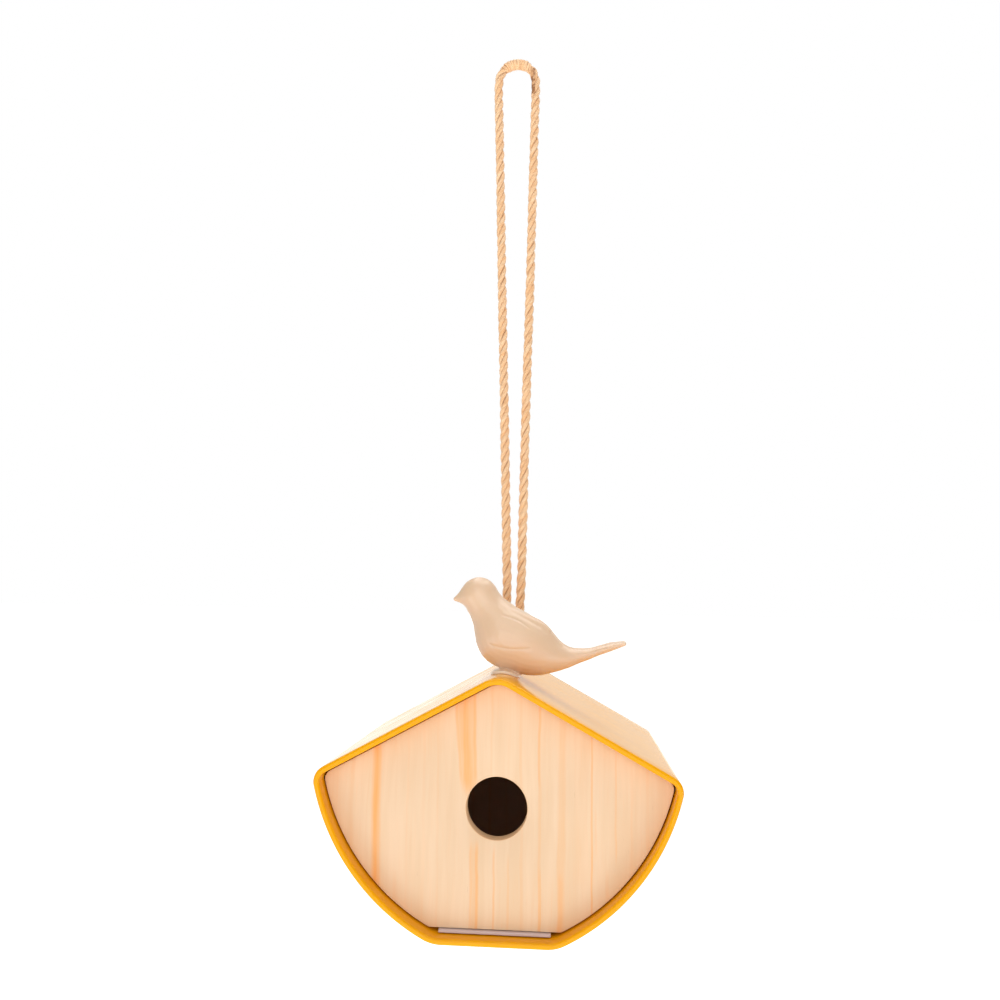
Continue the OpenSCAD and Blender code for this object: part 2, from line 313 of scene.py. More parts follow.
# A board's growth lines, in mm: place across it, lean on the way down, half width, depth of colour, and the
# heights between which the line shows, measured down from the ridge. Noise scales are along x, y and z.
pine = {
    "early": (0.80, 0.555, 0.345),
    "pale": (0.84, 0.60, 0.395),
    "late": (0.89, 0.41, 0.12),
    "nestShade": (0.24, 0.1, 0.04),
    "litWall": (1.0, 0.67, 0.39),
    "canal": (0.36, 0.17, 0.06),
    "roughness": 0.5,
    "smoother": 0.08,
    "rougher": 0.15,
    "reliefDepth": 0.1 * mm,
    "slowScales": (0.02, 0.01, 0.045),
    "patchScales": (0.25, 0.2, 0.02),
    "fineScales": (1.6, 1.6, 0.04),
    "broadScales": (0.12, 0.1, 0.008),
    "canalScales": (2.4, 2.4, 0.14),
    "streakDepth": 0.13,
    "canalDepth": 0.3,
    "litWallDepth": 0.85,
    "nestShadeDepth": 0.75,
    "wander": 0.9,
    "leanBack": 0.05,
    "frontShift": 3.72,
    "leanFrom": -72.0,
    "lowest": -140.0,
    "fade": 9.0,
    "frontLines": [
        (-63.6, 0.025, 2.3, 0.5, -20, -150), (-63.9, 0.025, 0.9, 0.2, -30, -135),
        (-14.6, 0.085, 3.1, 0.34, 0, -64), (-13.4, 0.03, 3.0, 0.30, 0, -68),
        (-17.7, 0.085, 0.7, 0.22, 0, -60), (-10.9, 0.03, 0.7, 0.28, 0, -60),
        (-16.4, 0.03, 0.6, 0.16, 0, -60), (-11.6, 0.01, 2.3, 0.2, -84, -150),
        (-10.3, 0.012, 0.7, 0.32, -84, -150), (-13.6, 0.012, 0.6, 0.14, -84, -150),
        (-1.2, 0.008, 0.6, 0.32, -86, -150), (-2.8, 0.01, 0.6, 0.13, 0, -58),
        (6.3, 0.008, 0.6, 0.16, -90, -150), (6.1, 0.0, 0.6, 0.07, 0, -60),
        (12.9, 0.02, 0.8, 0.13, 0, -150), (22.4, 0.012, 0.8, 0.16, 0, -150),
        (22.2, 0.012, 0.6, 0.2, 0, -62), (22.5, 0.012, 0.8, 0.22, -96, -150),
        (33.9, 0.0, 2.0, 0.17, -15, -150), (33.6, 0.0, 1.4, 0.2, -98, -150),
        (44.3, 0.0, 3.6, 0.06, -30, -110), (49.5, 0.004, 0.55, 0.36, -15, -150),
        (51.6, 0.01, 0.5, 0.13, -64, -96), (61.8, 0.0, 0.5, 0.22, -30, -98),
        (-47.0, 0.01, 0.6, 0.07, 0, -150), (-38.4, 0.01, 0.7, 0.06, 0, -150),
        (-31.0, 0.01, 0.6, 0.07, 0, -150), (-76.6, 0.01, 0.9, 0.07, 0, -150),
        (-55.5, 0.08, 1.2, 0.07, -100, -150), (57.0, 0.02, 0.9, 0.1, -95, -150),
        (70.0, 0.0, 0.7, 0.09, 0, -150), (78.0, 0.0, 0.8, 0.08, 0, -150),
    ],
    "backLines": [
        (-84, 0.01, 1.0, 0.2, 0, -150), (-70, 0.01, 1.8, 0.3, 0, -150), (-61, 0.01, 0.7, 0.2, 0, -150),
        (-44, 0.0, 0.9, 0.25, 0, -150), (-30, 0.01, 2.8, 0.4, 0, -150), (-19, 0.0, 0.6, 0.25, 0, -150),
        (-8, 0.0, 0.8, 0.3, 0, -150), (3, 0.01, 0.6, 0.2, 0, -150), (17, 0.01, 1.6, 0.35, 0, -150),
        (28, 0.0, 0.6, 0.2, 0, -150), (41, 0.01, 0.9, 0.25, 0, -150), (55, 0.0, 0.6, 0.22, 0, -150),
        (72, 0.0, 1.5, 0.3, 0, -150),
    ],
}


def growthLines(tree, across, z, lines):
    # the sum of all the lines of a board, each a soft stripe that leans and fades out at its ends
    total = None
    for place, lean, half, depth, top, bottom in lines:
        down = maths(tree, "SUBTRACT", pine["leanFrom"], z)
        centre = maths(tree, "MULTIPLY_ADD", down, lean, place)
        gap = maths(tree, "ABSOLUTE", maths(tree, "SUBTRACT", across, centre))
        stripe = fadeBetween(tree, gap, 1.45 * half, 0.45 * half)
        if top < 0:
            stripe = times(tree, stripe, fadeBetween(tree, z, top, top - pine["fade"]))
        if bottom > pine["lowest"]:
            stripe = times(tree, stripe, fadeBetween(tree, z, bottom, bottom + pine["fade"]))
        stripe = times(tree, stripe, depth)
        total = maths(tree, "ADD", total, stripe) if total else stripe
    return total


def stretched(tree, x, y, z, scales):
    x, y, z = (times(tree, value, scale) for value, scale in zip((x, y, z), scales))
    return addNode(tree, "ShaderNodeCombineXYZ", X=x, Y=y, Z=z).outputs[0]


def makePine(name, lines, seed, shadedUntil=None, hole=None):
    material, tree, shader = newMaterial(name, pine["early"], pine["roughness"])
    # from here on everything is in mm, with height 0 at the ridge
    place = objectPlace(tree, (1000, 1000, 1000), (0, 0, -house["ridge"]))
    x, y, z = addNode(tree, "ShaderNodeSeparateXYZ", Vector=place).outputs
    seeded = maths(tree, "ADD", z, seed)

    def grain(across, scales, *detail):
        return noiseAt(tree, stretched(tree, across, y, seeded, scales), 1.0, *detail)

    # the lines wander a little on their way up, and lean through the board's thickness
    slow = grain(x, pine["slowScales"], 2.0)
    wander = times(tree, maths(tree, "SUBTRACT", slow, 0.5), 2 * pine["wander"])
    shift = maths(tree, "MULTIPLY_ADD", y, pine["leanBack"], pine["frontShift"])
    across = maths(tree, "ADD", maths(tree, "ADD", x, wander), shift)
    patchy = maths(tree, "MULTIPLY_ADD", grain(across, pine["patchScales"], 3.0, 0.6), 1.25, 0.62)
    rings = times(tree, growthLines(tree, across, z, lines), patchy)
    fine = grain(across, pine["fineScales"], 5.0, 0.65)
    broad = grain(across, pine["broadScales"], 3.0, 0.6)
    base = mixColour(tree, fadeBetween(tree, broad, 0.35, 0.68), pine["early"], pine["pale"])
    streak = times(tree, fadeBetween(tree, fine, 0.45, 0.78), pine["streakDepth"])
    dark = addNode(tree, "ShaderNodeClamp", Value=maths(tree, "ADD", rings, streak)).outputs[0]
    colour = mixColour(tree, dark, base, pine["late"])
    # short resin canals
    canal = fadeBetween(tree, grain(across, pine["canalScales"], 1.0), 0.77, 0.84)
    colour = mixColour(tree, times(tree, canal, pine["canalDepth"]), colour, pine["canal"])
    if hole:
        # painted light: the entrance's wall is painted pale, standing in for the light that falls on it
        height, radius = hole
        flat = stretched(tree, x, y, maths(tree, "SUBTRACT", z, height), (1, 0, 1))
        reach = addNode(tree, "ShaderNodeVectorMath", {"operation": "LENGTH"}, Vector=flat).outputs["Value"]
        wall = fadeBetween(tree, reach, radius + 0.6, radius + 0.2)
        colour = mixColour(tree, times(tree, wall, pine["litWallDepth"]), colour, pine["litWall"])
    if shadedUntil is not None:
        # painted shade: the face towards the nest is darkened, standing in for the shade inside the house
        inner = maths(tree, "LESS_THAN", y, shadedUntil)
        colour = mixColour(tree, times(tree, inner, pine["nestShadeDepth"]), colour, pine["nestShade"])
    paint(tree, shader, colour)
    relief = maths(tree, "ADD", times(tree, fine, 0.5), dark)
    bumpFrom(tree, shader, relief, pine["reliefDepth"], 0.35)
    rough = mapped(tree, fine, 0.0, 1.0, pine["roughness"] - pine["smoother"],
                   pine["roughness"] + pine["rougher"])
    tree.links.new(rough, shader.inputs["Roughness"])
    return material


beige = {
    "colour": (0.79, 0.56, 0.375),
    "warm": (0.75, 0.51, 0.33),
    # painted light: the pad under the breast is painted paler than the body
    "pad": (0.97, 0.76, 0.56),
    "roughness": 0.32,
    "cloudScale": 60.0,
    "grainScale": 1500.0,
    "grainDepth": 0.02 * mm,
    "fixed": {
        "Coat Weight": 0.25,
        "Coat Roughness": 0.18,
        "Subsurface Weight": 0.1,
        "Subsurface Radius": (1.0, 0.5, 0.25),
        "Subsurface Scale": 1.5 * mm,
    },
}


def makeBeige():
    material, tree, shader = newMaterial("satinBeige", beige["colour"], beige["roughness"], beige["fixed"])
    place = objectPlace(tree)
    cloud = noiseAt(tree, place, beige["cloudScale"], 3.0)
    body = mixColour(tree, cloud, beige["warm"], beige["colour"])
    # painted light: the pad under the breast is painted paler, standing in for the light and reflection it
    # catches
    paint(tree, shader, mixColour(tree, valueOf(tree, "pad"), body, beige["pad"]))
    fine = noiseAt(tree, place, beige["grainScale"], 3.0, 0.6)
    bumpFrom(tree, shader, fine, beige["grainDepth"], 0.4)
    return material


# the dark patch's limits are in mm, each from none to full and back
jute = {
    "straw": (0.89, 0.52, 0.26),
    "light": (0.98, 0.69, 0.43),
    "shade": (0.36, 0.16, 0.055),
    "darkPatch": (0.32, 0.13, 0.045),
    "roughness": 0.85,
    "fixed": {"Sheen Weight": 0.25, "Sheen Roughness": 0.5, "Specular IOR Level": 0.25},
    "fibreScales": (0.16, 26.0, 1.0),
    "patchScales": (0.05, 2.0, 1.0),
    "reliefDepth": 0.25 * mm,
    "hollowShade": 0.65,
    "darkPatchAcross": (8.2, 9.4, 11.3, 12.3),
    "darkPatchHeights": (-20.0, -17.0, -2.0, 1.0),
    "spotScale": 0.35,
    "hairRoughness": 0.8,
    "hairFixed": {"Specular IOR Level": 0.2},
    "hairPatchScale": 90.0,
}


def makeJute():
    material, tree, shader = newMaterial("twistedJute", jute["straw"], jute["roughness"], jute["fixed"])
    uv = addNode(tree, "ShaderNodeUVMap", {"uv_map": "along"}).outputs[0]
    fibreAt = addNode(tree, "ShaderNodeMapping", Vector=uv, Scale=jute["fibreScales"])
    fibre = noiseAt(tree, fibreAt.outputs[0], 1.0, 4.0, 0.7)
    patchAt = addNode(tree, "ShaderNodeMapping", Vector=uv, Scale=jute["patchScales"])
    patch = noiseAt(tree, patchAt.outputs[0], 1.0, 3.0)
    colour = mixColour(tree, step(tree, patch, 0.35, 0.68), jute["straw"], jute["light"])
    colour = mixColour(tree, times(tree, step(tree, fibre, 0.5, 0.3), 0.7), colour, jute["shade"])
    colour = mixColour(tree, times(tree, step(tree, fibre, 0.58, 0.75), 0.6), colour, jute["light"])
    # painted shade: darker in the hollows between the strands, where shade falls
    hollow = times(tree, fadeBetween(tree, valueOf(tree, "rise"), 0.6, 0.1), jute["hollowShade"])
    colour = mixColour(tree, hollow, colour, jute["shade"])
    # a dark brown patch on the inner side of the right leg, just under the crown
    place = objectPlace(tree, (1000, 1000, 1000))
    x, y, z = addNode(tree, "ShaderNodeSeparateXYZ", Vector=place).outputs
    darkPatch = times(tree, within(tree, x, jute["darkPatchAcross"]), within(tree, z, jute["darkPatchHeights"]))
    spots = fadeBetween(tree, noiseAt(tree, place, jute["spotScale"], 2.0), 0.4, 0.55)
    darkPatch = times(tree, darkPatch, maths(tree, "MULTIPLY_ADD", spots, 0.7, 0.25))
    paint(tree, shader, mixColour(tree, darkPatch, colour, jute["darkPatch"]))
    bumpFrom(tree, shader, fibre, jute["reliefDepth"], 0.9)
    return material


def makeFibre():
    material, tree, shader = newMaterial("looseFibre", jute["light"], jute["hairRoughness"],
                                         jute["hairFixed"])
    patch = noiseAt(tree, objectPlace(tree), jute["hairPatchScale"], 2.0)
    paint(tree, shader, mixColour(tree, patch, jute["straw"], jute["light"]))
    return material


plate = {
    "colour": (0.66, 0.54, 0.53),
    "dark": (0.62, 0.505, 0.5),
    "light": (0.72, 0.6, 0.59),
    "roughness": 0.45,
    "cloudScale": 50.0,
    "grainScale": 1800.0,
    "grainDepth": 0.02 * mm,
}


def makePlateGrey():
    material, tree, shader = newMaterial("mattGrey", plate["colour"], plate["roughness"])
    place = objectPlace(tree)
    cloud = noiseAt(tree, place, plate["cloudScale"], 3.0)
    paint(tree, shader, mixColour(tree, cloud, plate["dark"], plate["light"]))
    bumpFrom(tree, shader, noiseAt(tree, place, plate["grainScale"], 2.0), plate["grainDepth"], 0.5)
    return material


zinc = {
    "colour": (0.62, 0.62, 0.63),
    "dark": (0.5, 0.5, 0.51),
    "bright": (0.72, 0.72, 0.74),
    "dull": (0.05, 0.045, 0.04),
    "spangleScale": 900.0,
    "scuffScale": 2500.0,
    "smoothest": 0.2,
    "roughest": 0.45,
}


def makeZinc():
    material, tree, shader = newMaterial("zincSteel", zinc["colour"], zinc["roughest"], {"Metallic": 1.0})
    place = objectPlace(tree)
    spangle = noiseAt(tree, place, zinc["spangleScale"], 3.0, 0.6)
    plating = mixColour(tree, spangle, zinc["dark"], zinc["bright"])
    # painted shade: the shanks are painted near black, as they sit in the dark gap and inside the wood
    paint(tree, shader, mixColour(tree, valueOf(tree, "dull"), plating, zinc["dull"]))
    scuff = noiseAt(tree, place, zinc["scuffScale"], 2.0)
    rough = mapped(tree, scuff, 0.0, 1.0, zinc["smoothest"], zinc["roughest"])
    tree.links.new(rough, shader.inputs["Roughness"])
    return material


glossYellow = makeYellow()
satinBeige = makeBeige()
twistedJute = makeJute()
looseFibre = makeFibre()
mattGrey = makePlateGrey()
zincSteel = makeZinc()
print("materials made")


rope = {
    "diameter": 6.0 * mm,
    "length": 0.829,
    "exit": (-0.0031, 0.0, -0.387),
    "lay": 21.0 * mm,
    "yarnLay": -17.0 * mm,
    "yarns": 5,
    "strandRadius": 1.48 * mm,
    "strandOffset": 1.42 * mm,
    "yarnRelief": 0.055,
    "wobble": (0.12, 130),
    "swell": (0.035, 310),
    "slowSwell": (0.03, 91),
    "hollow": 1.5,
    "relief": 1.4,
    "strandMark": 500,
    "step": 1.3 * mm,
    "sides": 20,
    "hairsPerSquareMm": 0.2,
    "hairLength": 2.6 * mm,
    "hairRadius": 0.03 * mm,
}

# the route of the rope's centre line, from its knot up the left leg and down the right one
ropeRoute = [
    (-0.0031, 0, -0.404), (-0.0031, 0, -0.386), (-0.0023, 0, -0.365), (-0.0013, 0, -0.341),
    (-0.0025, 0, -0.300), (-0.0041, 0, -0.250), (-0.0058, 0, -0.200), (-0.0076, 0, -0.150),
    (-0.0092, 0, -0.100), (-0.0109, 0, -0.050), (-0.012, 0, -0.020), (-0.012, 0, -0.009),
    (-0.0104, 0, -0.003), (-0.006, 0, 0.0014), (0, 0, 0.003), (0.006, 0, 0.0014),
    (0.0104, 0, -0.003), (0.012, 0, -0.009), (0.0121, 0, -0.020), (0.0116, 0, -0.050),
    (0.0109, 0, -0.100), (0.0102, 0, -0.150), (0.0092, 0, -0.200), (0.0084, 0, -0.250),
    (0.0078, 0, -0.300), (0.0072, 0, -0.341), (0.0054, 0, -0.365), (0.0031, 0, -0.386),
    (0.0031, 0, -0.404),
]


def smoothRoute(points, step):
    # a curve through every point, cut into even steps
    points = [Vector(p) for p in points]
    dense = []
    for i in range(len(points) - 1):
        a, b, c, d = (points[max(0, min(len(points) - 1, i + k))] for k in (-1, 0, 1, 2))
        cuts = max(2, math.ceil((c - b).length / (0.3 * step)))
        for k in range(cuts):
            dense.append(onCurve(a, b, c, d, k / cuts))
    dense.append(points[-1])
    reach = [0.0]
    for before, after in zip(dense, dense[1:]):
        reach.append(reach[-1] + (after - before).length)
    count = round(reach[-1] / step)
    even = []
    k = 0
    for i in range(count + 1):
        want = reach[-1] * i / count
        while k < len(reach) - 2 and reach[k + 1] < want:
            k += 1
        share = (want - reach[k]) / (reach[k + 1] - reach[k])
        even.append(dense[k].lerp(dense[k + 1], min(1.0, share)))
    return even, reach[-1]


def tangents(line):
    last = len(line) - 1
    return [(line[min(last, i + 1)] - line[max(0, i - 1)]).normalized() for i in range(last + 1)]


def windTwine(line, along, side, settings, points, marks, rises):
    # thin twine wound tightly round a stretch of the line
    inside = [i for i, p in enumerate(line)
              if settings["from"] < p.x < settings["to"] and p.z > settings["above"]]
    turns = round((inside[-1] - inside[0]) * rope["step"] / settings["pitch"])
    cuts, sides = settings["cuts"], settings["sides"]
    first = len(points)
    for n in range(turns * cuts + 1):
        share = n / (turns * cuts)
        at = inside[0] + share * (inside[-1] - inside[0])
        i = min(int(at), inside[-1] - 1)
        middle = line[i].lerp(line[i + 1], at - i)
        forward = along[i].lerp(along[i + 1], at - i).normalized()
        a = 2 * math.pi * n / cuts
        out = math.cos(a) * side + math.sin(a) * forward.cross(side)
        # the first and the last turns sink in between the strands
        free = min(1, share * turns / settings["tail"], (1 - share) * turns / settings["tail"])
        centre = middle + (settings["wound"] - (1 - free) * settings["sink"]) * out
        for k in range(sides):
            b = math.pi + 2 * math.pi * k / sides
            points.append(centre + settings["radius"] * (math.cos(b) * out + math.sin(b) * forward))
            marks.append((2 * math.pi * settings["wound"] / mm * n / cuts, settings["girth"] * k / sides))
            rises.append((math.cos(b) - settings["hollow"]) / settings["relief"])
    return tubeFaces(first, turns * cuts + 1, sides)


def wave(measures, reach, shift):
    size, rate = measures
    return size * math.sin(reach * rate + shift)


def strandedRope(name, line, side, settings, seed, twine=None):
    # three strands laid round the line, each with its own twisted yarns and uneven thickness
    rng = random.Random(seed)
    along = tangents(line)
    frames = []
    normal = side
    for direction in along:
        normal = (normal - direction * normal.dot(direction)).normalized()
        frames.append((normal.copy(), direction.cross(normal)))
    points, faces, marks, rises = [], [], [], []
    sides = settings["sides"]
    step = settings["step"]
    for strand in range(3):
        phase = 2 * math.pi * strand / 3
        drift = [rng.uniform(0, 6.28) for k in range(4)]
        centre = []
        for i, (normal, binormal) in enumerate(frames):
            reach = i * step
            angle = phase + 2 * math.pi * reach / settings["lay"] + wave(settings["wobble"], reach, drift[0])
            out = math.cos(angle) * normal + math.sin(angle) * binormal
            centre.append(line[i] + settings["strandOffset"] * out)
        heading = tangents(centre)
        first = len(points)
        for i, middle in enumerate(centre):
            reach = i * step
            out = (middle - line[i])
            out = (out - heading[i] * out.dot(heading[i])).normalized()
            over = heading[i].cross(out)
            swell = (1 + wave(settings["swell"], reach, drift[1])
                     + wave(settings["slowSwell"], reach, drift[2]))
            for k in range(sides):
                a = 2 * math.pi * k / sides
                yarnTurn = 2 * math.pi * reach / settings["yarnLay"]
                ridge = abs(math.sin(0.5 * settings["yarns"] * (a + yarnTurn)))
                radius = settings["strandRadius"] * swell * (1 + settings["yarnRelief"] * (2 * ridge - 1.2))
                points.append(middle + radius * (math.cos(a) * out + math.sin(a) * over))
                height = (points[-1] - line[i]).length / mm
                rises.append((height - settings["hollow"]) / settings["relief"])
                marks.append((reach / mm + settings["strandMark"] * strand, (a + yarnTurn) / (2 * math.pi)))
        faces += tubeFaces(first, len(centre), sides)
    if twine:
        faces += windTwine(line, along, side, twine, points, marks, rises)
    piece = addMesh(name, points, faces)
    # rise is each point's height over the strands' hollows; it sets where the jute's painted shade falls
    piece.data.attributes.new("rise", "FLOAT", "POINT").data.foreach_set("value", rises)
    layer = piece.data.uv_layers.new(name="along")
    loopVerts = [loop.vertex_index for loop in piece.data.loops]
    for polygon in piece.data.polygons:
        turns = [marks[loopVerts[i]][1] for i in polygon.loop_indices]
        for i, turn in zip(polygon.loop_indices, turns):
            # a face that spans the seam keeps its corners on the same side of it
            if turns[0] - turn > 0.5:
                turn += 1
            elif turn - turns[0] > 0.5:
                turn -= 1
            layer.data[i].uv = (marks[loopVerts[i]][0], turn)
    piece.data.shade_smooth()
    return piece


def hairTemplate(settings):
    # one loose fibre: a thin three-sided sliver that bends over
    rings, sides, points = 5, 3, []
    for i in range(rings):
        share = i / (rings - 1)
        radius = settings["hairRadius"] * (1 - 0.8 * share)
        middle = Vector((settings["hairLength"] * 0.5 * share * share, 0,
                         settings["hairLength"] * share * 0.85))
        for cosine, sine in circle(sides):
            points.append(middle + Vector((radius * cosine, radius * sine, 0)))
    return addMesh("hairTemplate", points, tubeFaces(0, rings, sides))


def link(tree, source, target):
    tree.links.new(source, target)


def setInput(modifier, tree, name, value):
    for item in tree.interface.items_tree:
        if item.item_type == "SOCKET" and item.in_out == "INPUT" and item.name == name:
            modifier[item.identifier] = value
            return
    raise ValueError("no input named " + name)


def newTree(name, inputs):
    tree = bpy.data.node_groups.new(name, "GeometryNodeTree")
    tree.interface.new_socket("Geometry", in_out="INPUT", socket_type="NodeSocketGeometry")
    for label, kind in inputs:
        tree.interface.new_socket(label, in_out="INPUT", socket_type=kind)
    tree.interface.new_socket("Geometry", in_out="OUTPUT", socket_type="NodeSocketGeometry")
    return tree, tree.nodes.new("NodeGroupInput"), tree.nodes.new("NodeGroupOutput")


def fuzzTree(hair, ropeMaterial, hairMaterial):
    # scatters loose fibres over the strands, tilted away from the surface at random
    tree, given, result = newTree("looseFibres", [
        ("Hairs per square metre", "NodeSocketFloat"), ("Shortest", "NodeSocketFloat"),
        ("Longest", "NodeSocketFloat"), ("Seed", "NodeSocketInt")])
    scatter = addNode(tree, "GeometryNodeDistributePointsOnFaces", {"distribute_method": "RANDOM"},
                      Mesh=given.outputs["Geometry"], Density=given.outputs["Hairs per square metre"],
                      Seed=given.outputs["Seed"])
    template = addNode(tree, "GeometryNodeObjectInfo", Object=hair, As_Instance=True)
    tilt = tree.nodes.new("FunctionNodeRandomValue")
    tilt.data_type = "FLOAT_VECTOR"
    tilt.inputs[0].default_value = (-1.25, -1.25, 0.0)
    tilt.inputs[1].default_value = (1.25, 1.25, 6.28)
    link(tree, given.outputs["Seed"], tilt.inputs["Seed"])
    turn = tree.nodes.new("FunctionNodeEulerToRotation")
    link(tree, tilt.outputs[0], turn.inputs[0])
    spin = tree.nodes.new("FunctionNodeRotateRotation")
    spin.rotation_space = "LOCAL"
    link(tree, scatter.outputs["Rotation"], spin.inputs[0])
    link(tree, turn.outputs[0], spin.inputs[1])
    size = tree.nodes.new("FunctionNodeRandomValue")
    size.data_type = "FLOAT"
    floats = [s for s in size.inputs if s.enabled and s.name in ("Min", "Max")]
    link(tree, given.outputs["Shortest"], floats[0])
    link(tree, given.outputs["Longest"], floats[1])
    sizeOut = [s for s in size.outputs if s.enabled][0]
    place = addNode(tree, "GeometryNodeInstanceOnPoints", Points=scatter.outputs["Points"],
                    Instance=template.outputs["Geometry"], Rotation=spin.outputs[0], Scale=sizeOut)
    real = tree.nodes.new("GeometryNodeRealizeInstances")
    link(tree, place.outputs[0], real.inputs[0])
    hairs = addNode(tree, "GeometryNodeSetMaterial", Geometry=real.outputs[0], Material=hairMaterial)
    strands = addNode(tree, "GeometryNodeSetMaterial", Geometry=given.outputs["Geometry"],
                      Material=ropeMaterial)
    join = tree.nodes.new("GeometryNodeJoinGeometry")
    link(tree, hairs.outputs[0], join.inputs[0])
    link(tree, strands.outputs[0], join.inputs[0])
    link(tree, join.outputs[0], result.inputs[0])
    return tree


def addFuzz(piece, settings, seed):
    hair = hairTemplate(settings)
    tree = fuzzTree(hair, twistedJute, looseFibre)
    modifier = piece.modifiers.new("fuzz", "NODES")
    modifier.node_group = tree
    setInput(modifier, tree, "Hairs per square metre", settings["hairsPerSquareMm"] / (mm * mm))
    setInput(modifier, tree, "Shortest", 0.25)
    setInput(modifier, tree, "Longest", 1.0)
    setInput(modifier, tree, "Seed", seed)
    bake(piece)
    bpy.data.node_groups.remove(tree)
    discard(hair)


# the crown is wound with thinner twine, over the stretch between two places and above a height
crownTwine = {
    "from": -0.0087,
    "to": 0.0082,
    "above": -0.006,
    "pitch": 1.9 * mm,
    "radius": 1.5 * mm,
    "wound": 1.85 * mm,
    "sink": 0.9 * mm,
    "tail": 1.5,
    "girth": 0.4,
    "hollow": 0.74,
    "relief": 0.2,
    "cuts": 24,
    "sides": 24,
}
ropeLine, ropeReach = smoothRoute(ropeRoute, rope["step"])
ropeLoop = strandedRope("ropeLoop", ropeLine, Vector((0, 1, 0)), rope, 5, crownTwine)
faceOut(ropeLoop)
addFuzz(ropeLoop, rope, 11)
print("rope is", round(ropeReach, 4), "m long")

# the stopper knot: an overhand turn of the same rope under the washer
knot = {"turnRadius": 5.2 * mm, "rise": 3.4 * mm, "points": 26}


def knotLine():
    low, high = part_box("rope_knot")
    middle = Vector([(low[k] + high[k]) / 2 for k in range(3)])
    line = []
    for i in range(knot["points"] + 1):
        a = 2 * math.pi * i / knot["points"]
        ring = knot["turnRadius"] * (0.62 + 0.38 * math.cos(1.5 * a))
        height = knot["rise"] * math.sin(1.5 * a)
        line.append(middle + Vector((ring * math.cos(a), ring * math.sin(a), height)))
    return line


knotPath = smoothRoute(knotLine(), rope["step"])[0]
ropeKnot = strandedRope("ropeKnot", knotPath, Vector((0, 0, 1)), rope, 8)
finishPiece(ropeKnot, twistedJute, "house", ("rope_knot",))

finishPiece(ropeLoop, None, "house", ("rope",))


def outlineArcs():
    # centre, radius, the two end angles and the number of cuts of each arc of the right half
    slope = math.radians(house["slope"])
    eave = Vector((house["halfWidth"], -house["halfWidth"] * math.tan(slope)))
    foot = Vector((house["floorHalf"], -house["height"]))
    chord = (eave - foot).length
    sideRadius = (chord * chord / 4 + house["bulge"] ** 2) / (2 * house["bulge"])
    outward = Vector((eave.y - foot.y, foot.x - eave.x)) / chord
    sideCentre = (eave + foot) / 2 - (sideRadius - house["bulge"]) * outward
    down = Vector((math.cos(slope), -math.sin(slope)))
    roofOut = Vector((math.sin(slope), math.cos(slope)))
    start = -house["eaveRadius"] * roofOut - sideCentre
    along = start.dot(down)
    reach = sideRadius - house["eaveRadius"]
    run = math.sqrt(along * along - start.dot(start) + reach * reach) - along
    eaveCentre = -house["eaveRadius"] * roofOut + run * down
    lift = -house["height"] + house["footRadius"]
    reach = sideRadius - house["footRadius"]
    footCentre = Vector((sideCentre.x + math.sqrt(reach ** 2 - (lift - sideCentre.y) ** 2), lift))
    turnTop = math.degrees(math.atan2(*(eaveCentre - sideCentre).yx))
    turnFoot = math.degrees(math.atan2(*(footCentre - sideCentre).yx))
    ridgeCentre = Vector((0, -house["ridgeRadius"] / math.cos(slope)))
    return [
        (ridgeCentre, house["ridgeRadius"], 90, 90 - house["slope"], 10),
        (eaveCentre, house["eaveRadius"], 90 - house["slope"], turnTop, 18),
        (sideCentre, sideRadius, turnTop, turnFoot, 44),
        (footCentre, house["footRadius"], turnFoot, -90, 16),
    ]


def fullOutline(straightCuts=8):
    # every point of the outline with its outward direction, clockwise from the ridge
    right = []
    for centre, radius, start, end, steps in outlineArcs():
        arc = []
        for i in range(steps + 1):
            a = math.radians(start + (end - start) * i / steps)
            out = Vector((math.cos(a), math.sin(a)))
            arc.append((centre + radius * out, out))
        if right:
            last, lastOut = right[-1]
            if (arc[0][0] - last).length > 1.0:
                for k in range(1, straightCuts):
                    right.append((last.lerp(arc[0][0], k / straightCuts), lastOut))
            else:
                arc = arc[1:]
        right.extend(arc)
    left = [(Vector((-p.x, p.y)), Vector((-out.x, out.y))) for p, out in reversed(right)]
    bottom = [right[-1][0].lerp(left[0][0], k / straightCuts) for k in range(1, straightCuts)]
    return right + [(p, Vector((0, -1))) for p in bottom] + left[:-1]


outlinePoints = fullOutline()
arcs = outlineArcs()
eaveCentre = arcs[1][0]
sideCentre, sideRadius = arcs[2][0], arcs[2][1]


def inHouse(x, depth, z):
    # from the house's own measures to the shared frame, in metres
    return Vector((x, depth + house["front"], z + house["ridge"])) * mm


def lathe(profile, steps):
    # a turned shape on the Z axis, from (radius, height) pairs; its ends close on the axis
    points = [Vector((radius * cosine, radius * sine, height))
              for radius, height in profile for cosine, sine in circle(steps)]
    return points, tubeFaces(0, len(profile), steps)


def joined(name, shapes):
    points, faces = [], []
    for shapePoints, shapeFaces in shapes:
        first = len(points)
        points.extend(shapePoints)
        faces.extend(tuple(first + k for k in face) for face in shapeFaces)
    piece = addMesh(name, points, faces)
    faceOut(piece)
    return piece


def turned(shape, direction, place):
    # moves a turned shape so that its Z axis points along direction from place
    points, faces = shape
    rotation = Vector(direction).to_track_quat("Z", "Y").to_matrix()
    return [rotation @ p + place for p in points], faces


def cut(piece, cutter):
    modifier = piece.modifiers.new("cut", "BOOLEAN")
    modifier.operation = "DIFFERENCE"
    modifier.solver = "EXACT"
    modifier.object = cutter
    bake(piece)
    discard(cutter)


